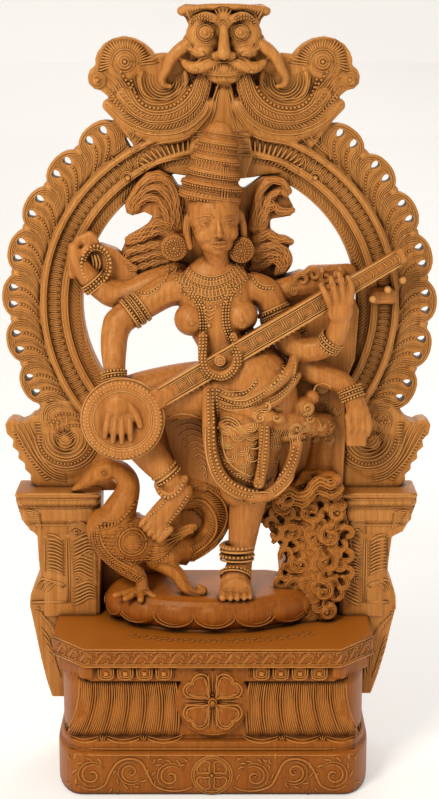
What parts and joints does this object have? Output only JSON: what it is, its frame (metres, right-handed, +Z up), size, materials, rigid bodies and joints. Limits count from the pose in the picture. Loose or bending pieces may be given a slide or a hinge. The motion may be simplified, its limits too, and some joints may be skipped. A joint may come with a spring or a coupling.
{
  "type": "figure panel",
  "caption": "Carved wooden panel of a goddess playing the veena on a lotus seat, with a swan, in a leaf-edged arch under a lion mask on a moulded plinth.",
  "frame": {"origin": "centre of the whole panel's footprint, on the surface it stands on", "axes": "+Z up, the carving faces -Y, +X to the right of someone looking at the front"},
  "size_m": [0.52, 0.17, 0.915],
  "materials": {
    "wood": "oiled and worn, warm brown, darker in the recesses"
  },
  "bodies": {
    "root": {"saraswati_carving": "wood"}
  },
  "joints": []
}
